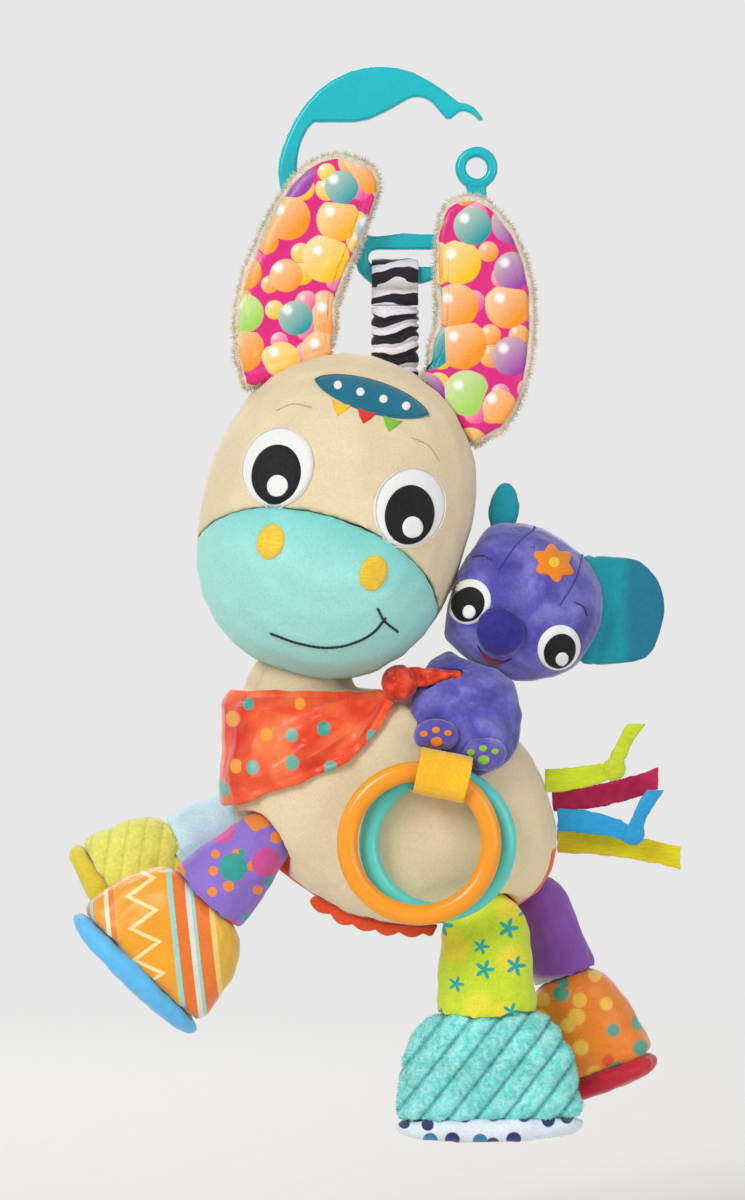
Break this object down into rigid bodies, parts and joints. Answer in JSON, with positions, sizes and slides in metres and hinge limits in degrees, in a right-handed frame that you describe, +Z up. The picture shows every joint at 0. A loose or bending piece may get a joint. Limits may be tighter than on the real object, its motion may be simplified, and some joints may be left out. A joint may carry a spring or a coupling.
{
  "type": "hanging_pram_toy",
  "caption": "Stuffed donkey pram toy with a small koala on its back, swinging from a striped elastic strap and an open plastic hook, with rings, ribbons and a kerchief.",
  "frame": {"origin": "on the flat seat under the hook's blade, 2 mm from its right end, where the hook rests on the rim that carries the toy", "axes": "+Z up along the hanging line, +X to the viewer's right, the faces look along -Y"},
  "size_m": [0.178, 0.0745, 0.3079],
  "materials": {
    "teal_plastic": "teal plastic",
    "striped_cloth": "striped cloth",
    "white_elastic": "white elastic",
    "cream_velour": "cream velour",
    "mint_velour": "mint velour",
    "white_felt": "white felt",
    "black_felt": "black felt",
    "yellow_thread": "yellow thread",
    "deep_teal_cloth": "deep teal cloth",
    "cream_plush": "cream plush",
    "clear_film": "clear film",
    "magenta_satin": "magenta satin",
    "orange_red_cloth": "orange red cloth",
    "orange_red_satin": "orange red satin",
    "golden_ribbon": "golden ribbon",
    "milky_plastic": "milky plastic",
    "purple_velour": "purple velour",
    "violet_velour": "violet velour",
    "bead_plastic": "bead plastic",
    "orange_plastic": "orange plastic",
    "turquoise_plastic": "turquoise plastic",
    "dark_purple_felt": "dark purple felt",
    "teal_felt": "teal felt",
    "lilac_cloth": "lilac cloth",
    "orange_print_cloth": "orange print cloth",
    "blue_sole_cloth": "blue sole cloth",
    "pale_blue_cloth": "pale blue cloth",
    "yellow_plush": "yellow plush",
    "yellow_sole_cloth": "yellow sole cloth",
    "lime_cloth": "lime cloth",
    "turquoise_cord_plush": "turquoise cord plush",
    "white_sole_cloth": "white sole cloth",
    "purple_cloth": "purple cloth",
    "amber_print_cloth": "amber print cloth",
    "red_sole_cloth": "red sole cloth",
    "lime_ribbon": "lime ribbon",
    "crimson_ribbon": "crimson ribbon",
    "blue_ribbon": "blue ribbon",
    "yellow_ribbon": "yellow ribbon"
  },
  "bodies": {
    "hook": {"hook": "teal_plastic"},
    "strap": {"strap_loop": "striped_cloth", "strap_sleeve": "striped_cloth", "strap_elastic": "white_elastic"},
    "head": {"head": "cream_velour", "muzzle": "mint_velour", "eye_white_left": "white_felt", "eye_white_right": "white_felt", "pupil_left": "black_felt", "pupil_right": "black_felt", "nostril_left": "yellow_thread", "nostril_right": "yellow_thread", "forehead_band": "deep_teal_cloth"},
    "ear_left": {"ear_back_left": "cream_plush", "ear_film_left": "clear_film", "ear_lining_left": "magenta_satin"},
    "ear_right": {"ear_back_right": "cream_plush", "ear_film_right": "clear_film", "ear_lining_right": "magenta_satin"},
    "body": {"body_near": "cream_velour", "body_gusset": "orange_red_cloth", "body_far": "cream_velour", "belly_trim": "orange_red_cloth", "kerchief": "orange_red_satin", "kerchief_knot": "orange_red_satin", "ring_tab": "golden_ribbon", "rattle_shell_near": "milky_plastic", "rattle_shell_far": "milky_plastic", "koala_body": "purple_velour", "koala_foot_left": "violet_velour", "koala_foot_right": "violet_velour"},
    "beads": {"rattle_bead_1": "bead_plastic", "rattle_bead_2": "bead_plastic", "rattle_bead_3": "bead_plastic"},
    "orange_ring": {"ring_orange": "orange_plastic"},
    "turquoise_ring": {"ring_turquoise": "turquoise_plastic"},
    "koala_head": {"koala_head": "purple_velour", "koala_nose": "dark_purple_felt", "koala_eye_left": "white_felt", "koala_eye_right": "white_felt"},
    "koala_left_ear": {"koala_ear_left": "teal_felt"},
    "koala_right_ear": {"koala_ear_right": "teal_felt"},
    "near_front_leg": {"leg_near_front": "lilac_cloth", "boot_near_front": "orange_print_cloth", "sole_near_front": "blue_sole_cloth"},
    "far_front_leg": {"leg_far_front": "pale_blue_cloth", "boot_far_front": "yellow_plush", "sole_far_front": "yellow_sole_cloth"},
    "near_rear_leg": {"leg_near_rear": "lime_cloth", "boot_near_rear": "turquoise_cord_plush", "sole_near_rear": "white_sole_cloth"},
    "far_rear_leg": {"leg_far_rear": "purple_cloth", "boot_far_rear": "amber_print_cloth", "sole_far_rear": "red_sole_cloth"},
    "lime_ribbon": {"ribbon_lime": "lime_ribbon"},
    "crimson_ribbon": {"ribbon_crimson": "crimson_ribbon"},
    "blue_ribbon": {"ribbon_blue": "blue_ribbon"},
    "yellow_ribbon": {"ribbon_yellow": "yellow_ribbon"}
  },
  "joints": [
    {"name": "strap_swing", "type": "hinge", "parent": "hook", "child": "strap", "pos_m": [0.0135, 0, -0.0442], "axis": [1, 0, 0], "range_deg": [-8, 35]},
    {"name": "strap_stretch", "type": "slide", "parent": "strap", "child": "head", "axis": [0, 0, -1], "range_m": [0, 0.022], "stiffness_N_per_m": 60, "springref_m": -0.03, "deforming": ["strap_sleeve", "strap_elastic"]},
    {"name": "left_ear_flop", "type": "hinge", "parent": "head", "child": "ear_left", "pos_m": [-0.0177, -0.011, -0.07183], "axis": [0.9613, 0, 0.2756], "range_deg": [0, 35]},
    {"name": "right_ear_flop", "type": "hinge", "parent": "head", "child": "ear_right", "pos_m": [0.0304, -0.011, -0.08243], "axis": [0.6157, 0, -0.788], "range_deg": [0, 40]},
    {"name": "neck_tilt", "type": "hinge", "parent": "head", "child": "body", "pos_m": [-0.014, 0, -0.16533], "axis": [0, 1, 0], "range_deg": [0, 10]},
    {"name": "bead_roll", "type": "hinge", "parent": "body", "child": "beads", "pos_m": [0.014, 0, -0.19783], "axis": [0, 1, 0], "range_deg": [-120, 120]},
    {"name": "orange_ring_swing", "type": "hinge", "parent": "body", "child": "orange_ring", "pos_m": [0.0269, -0.03822, -0.18703], "axis": [-0.9781, 0, 0.2079], "range_deg": [0, 36]},
    {"name": "turquoise_ring_swing", "type": "hinge", "parent": "body", "child": "turquoise_ring", "pos_m": [0.0269, -0.03242, -0.18703], "axis": [-0.9781, 0, 0.2079], "range_deg": [0, 28.8]},
    {"name": "koala_head_tilt", "type": "hinge", "parent": "body", "child": "koala_head", "pos_m": [0.0491, -0.008, -0.13853], "axis": [0, 1, 0], "range_deg": [-8, 8]},
    {"name": "koala_left_ear_flop", "type": "hinge", "parent": "koala_head", "child": "koala_left_ear", "pos_m": [0.03664, -0.008, -0.1178], "axis": [0.809, 0, 0.5878], "range_deg": [-15, 15]},
    {"name": "koala_right_ear_flop", "type": "hinge", "parent": "koala_head", "child": "koala_right_ear", "pos_m": [0.07339, -0.008, -0.14109], "axis": [0, 0, 1], "range_deg": [-20, 20]},
    {"name": "near_front_leg_swing", "type": "hinge", "parent": "body", "child": "near_front_leg", "pos_m": [-0.026, -0.0135, -0.20843], "axis": [0, 1, 0], "range_deg": [-22, 22]},
    {"name": "far_front_leg_swing", "type": "hinge", "parent": "body", "child": "far_front_leg", "pos_m": [-0.0285, 0.0135, -0.20083], "axis": [0, 1, 0], "range_deg": [-22, 22]},
    {"name": "near_rear_leg_swing", "type": "hinge", "parent": "body", "child": "near_rear_leg", "pos_m": [0.0394, -0.0135, -0.23403], "axis": [0, 1, 0], "range_deg": [-22, 22]},
    {"name": "far_rear_leg_swing", "type": "hinge", "parent": "body", "child": "far_rear_leg", "pos_m": [0.0555, 0.0135, -0.22683], "axis": [0, 1, 0], "range_deg": [-22, 22]},
    {"name": "lime_ribbon_flap", "type": "hinge", "parent": "body", "child": "lime_ribbon", "pos_m": [0.05658, -0.0063, -0.19003], "axis": [0, 0, 1], "range_deg": [-35, 0]},
    {"name": "crimson_ribbon_flap", "type": "hinge", "parent": "body", "child": "crimson_ribbon", "pos_m": [0.05882, 0.0021, -0.19583], "axis": [0, 0, 1], "range_deg": [0, 35]},
    {"name": "blue_ribbon_flap", "type": "hinge", "parent": "body", "child": "blue_ribbon", "pos_m": [0.06026, -0.0021, -0.20143], "axis": [0, 0, 1], "range_deg": [-35, 0]},
    {"name": "yellow_ribbon_flap", "type": "hinge", "parent": "body", "child": "yellow_ribbon", "pos_m": [0.06042, 0.0063, -0.20803], "axis": [0, 0, 1], "range_deg": [0, 35]}
  ],
  "couplings": [
    {"joint": "turquoise_ring_swing", "follows": "orange_ring_swing", "ratio": 0.8}
  ]
}
